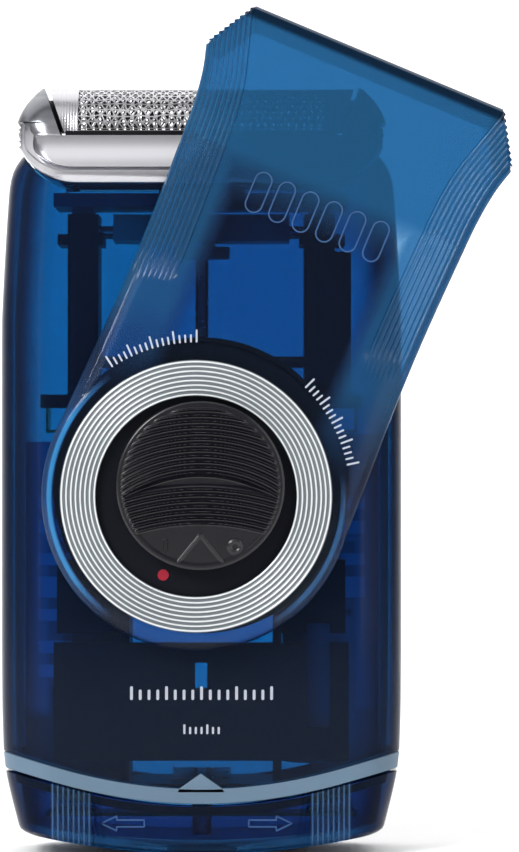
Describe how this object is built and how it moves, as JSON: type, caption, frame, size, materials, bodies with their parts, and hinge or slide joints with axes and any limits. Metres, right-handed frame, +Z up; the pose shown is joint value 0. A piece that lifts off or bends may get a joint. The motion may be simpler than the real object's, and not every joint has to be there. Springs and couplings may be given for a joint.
{
  "type": "electric shaver",
  "caption": "Pocket foil shaver run by two cells, in a translucent blue housing with a twist cap that swings over the foil head, a grip ring, a rotary knob and a twist-off battery lid.",
  "frame": {"origin": "middle of the small flat facet under the battery lid, where the shaver stands", "axes": "+Z up along the housing towards the head, +X to the right seen from the front, front faces -Y"},
  "size_m": [0.0765, 0.032, 0.1261],
  "materials": {
    "blue_housing": "translucent polished",
    "blue_cap": "translucent polished",
    "silver_band": "silver-grey satin",
    "dark_plastic": "moulded",
    "black_plastic": "fine moulded grain",
    "white_plastic": "acetal",
    "silver_frame": "satin silver",
    "ring_metal": "turned grooves",
    "steel": "bright",
    "foil_steel": "polished perforated",
    "cell_can": "printed sleeve",
    "motor_metal": "plated can",
    "brass_contact": "plated",
    "bronze": "sintered",
    "rubber_seal": "matt",
    "red_mark": "printed",
    "board": "laminate"
  },
  "bodies": {
    "housing": {"front_shell": "blue_housing", "rear_shell": "blue_housing", "trim_band": "silver_band", "chassis": "dark_plastic", "battery_left": "cell_can", "battery_right": "cell_can", "top_contacts": "brass_contact", "motor_can": "motor_metal", "motor_endcap": "black_plastic", "motor_bush": "bronze", "guide_rods": "steel", "head_frame": "silver_frame", "head_deck": "dark_plastic", "shaft_seal": "rubber_seal", "float_springs": "steel", "knob_seal": "rubber_seal", "switch_plate": "board", "pivot_plate": "black_plastic", "head_pads": "black_plastic"},
    "twist_cap": {"cap_shell": "blue_cap", "cap_ring": "ring_metal", "bezel_disc": "black_plastic", "marker_dot": "red_mark"},
    "knob_unit": {"knob": "black_plastic", "switch_rotor": "white_plastic"},
    "lid_unit": {"battery_lid": "blue_housing", "lid_gasket": "rubber_seal", "bayonet_post": "steel", "contact_plate": "brass_contact", "contact_springs": "steel"},
    "rotor": {"rotor_shaft": "steel", "eccentric": "white_plastic"},
    "bridge_unit": {"bridge": "white_plastic", "drive_pin": "steel", "cutter_spring": "steel"},
    "foil_unit": {"foil": "foil_steel", "foil_cassette": "black_plastic"},
    "cutter": {"cutter_carrier": "dark_plastic", "cutter_blades": "steel"}
  },
  "joints": [
    {"name": "cap_twist", "type": "hinge", "parent": "housing", "child": "twist_cap", "pos_m": [0, -0.0145, 0.0551], "axis": [0, -1, 0], "range_deg": [-157.3, 22.7]},
    {"name": "knob_turn", "type": "hinge", "parent": "housing", "child": "knob_unit", "pos_m": [0, -0.0145, 0.0551], "axis": [0, -1, 0], "range_deg": [0, 30]},
    {"name": "lid_twist", "type": "hinge", "parent": "housing", "child": "lid_unit", "pos_m": [0, 0, 0], "axis": [0, 0, 1], "range_deg": [0, 20]},
    {"name": "motor_spin", "type": "hinge", "parent": "housing", "child": "rotor", "pos_m": [0, 0, 0.088], "axis": [0, 0, 1], "continuous": true},
    {"name": "bridge_slide", "type": "slide", "parent": "housing", "child": "bridge_unit", "axis": [1, 0, 0], "range_m": [-0.001, 0.001], "stiffness_N_per_m": 150},
    {"name": "foil_float", "type": "slide", "parent": "housing", "child": "foil_unit", "axis": [0, 0, 1], "range_m": [-0.0012, 0], "stiffness_N_per_m": 400, "springref_m": 0.0015, "deforming": ["float_springs"]},
    {"name": "cutter_float", "type": "slide", "parent": "bridge_unit", "child": "cutter", "axis": [0, 0, 1], "range_m": [-0.0012, 0], "stiffness_N_per_m": 200, "springref_m": 0.0015, "deforming": ["cutter_spring"]}
  ],
  "couplings": [
    {"joint": "cutter_float", "follows": "foil_float", "ratio": 1}
  ]
}
